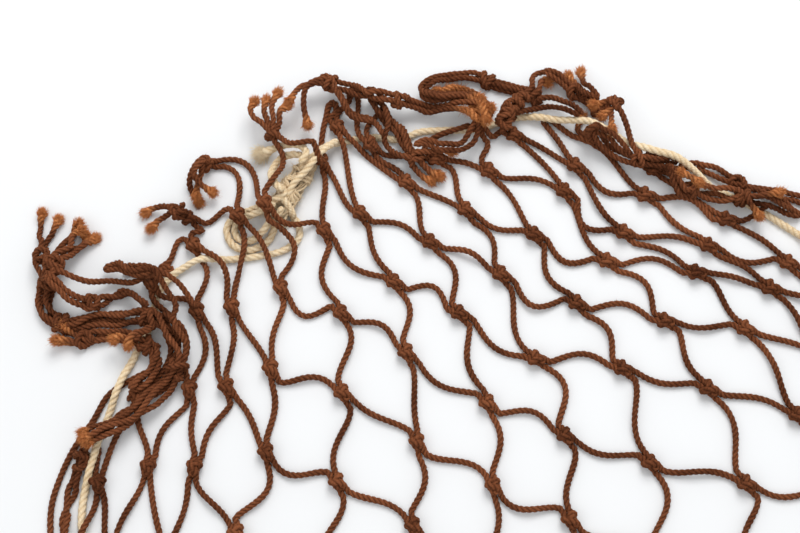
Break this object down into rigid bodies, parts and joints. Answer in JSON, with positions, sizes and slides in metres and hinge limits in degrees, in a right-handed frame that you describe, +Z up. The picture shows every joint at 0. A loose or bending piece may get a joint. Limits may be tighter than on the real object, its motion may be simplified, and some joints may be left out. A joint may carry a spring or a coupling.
{
  "type": "cast net",
  "caption": "Small round hand-knotted diamond net of tanned twine, lying flat, its margin threaded on a cotton rope with a big knot and gathered, frayed twine tails.",
  "frame": {"origin": "middle of the whole outline in plan, on the surface that the net lies on", "axes": "+Z up out of the flat net, +Y towards the margin with the rope knot and the gathered twines, +X to the right seen from above"},
  "size_m": [0.4268, 0.414, 0.0228],
  "materials": {
    "net_twine": "matt tanned cotton twine, three strands, slightly fuzzy",
    "margin_rope": "matt undyed cotton rope, three strands, loose fibres"
  },
  "bodies": {
    "root": {"gather_left": "net_twine", "gather_left_inner": "net_twine", "gather_over_rope": "net_twine", "gather_right": "net_twine", "gather_right_low": "net_twine", "gather_right_outer": "net_twine", "gather_top_left": "net_twine", "gather_top_loop": "net_twine", "hank_left": "net_twine", "loop_over_knot": "net_twine", "margin_rope": "margin_rope", "mesh_row_01_a": "net_twine", "mesh_row_01_b": "net_twine", "mesh_row_02_a": "net_twine", "mesh_row_02_b": "net_twine", "mesh_row_03_a": "net_twine", "mesh_row_03_b": "net_twine", "mesh_row_04_a": "net_twine", "mesh_row_04_b": "net_twine", "mesh_row_04_c": "net_twine", "mesh_row_05_a": "net_twine", "mesh_row_05_b": "net_twine", "mesh_row_05_c": "net_twine", "mesh_row_06_a": "net_twine", "mesh_row_06_b": "net_twine", "mesh_row_06_c": "net_twine", "mesh_row_07_a": "net_twine", "mesh_row_07_b": "net_twine", "mesh_row_07_c": "net_twine", "mesh_row_08_a": "net_twine", "mesh_row_08_b": "net_twine", "mesh_row_09_a": "net_twine", "mesh_row_09_b": "net_twine", "mesh_row_10_a": "net_twine", "mesh_row_10_b": "net_twine", "mesh_row_11": "net_twine", "mesh_row_12": "net_twine", "rope_bight_high": "margin_rope", "rope_bight_low": "margin_rope", "rope_free_end": "margin_rope", "rope_knot": "margin_rope", "strand_left_long": "net_twine", "strand_left_pair": "net_twine", "strand_low_left": "net_twine", "strand_low_left_inner": "net_twine", "strand_right": "net_twine", "strand_right_outer": "net_twine", "tail_cross": "net_twine", "tail_fork": "net_twine", "tail_right_low": "net_twine", "tail_top_left": "net_twine", "tail_top_left_short": "net_twine", "tail_top_loop": "net_twine", "tassel_fan_left": "net_twine", "tassel_fan_right": "net_twine", "tassel_hook": "net_twine", "tassel_left_four": "net_twine", "tassel_left_inner": "net_twine", "tassel_left_pair": "net_twine", "tassel_top_hook": "net_twine"}
  },
  "joints": []
}
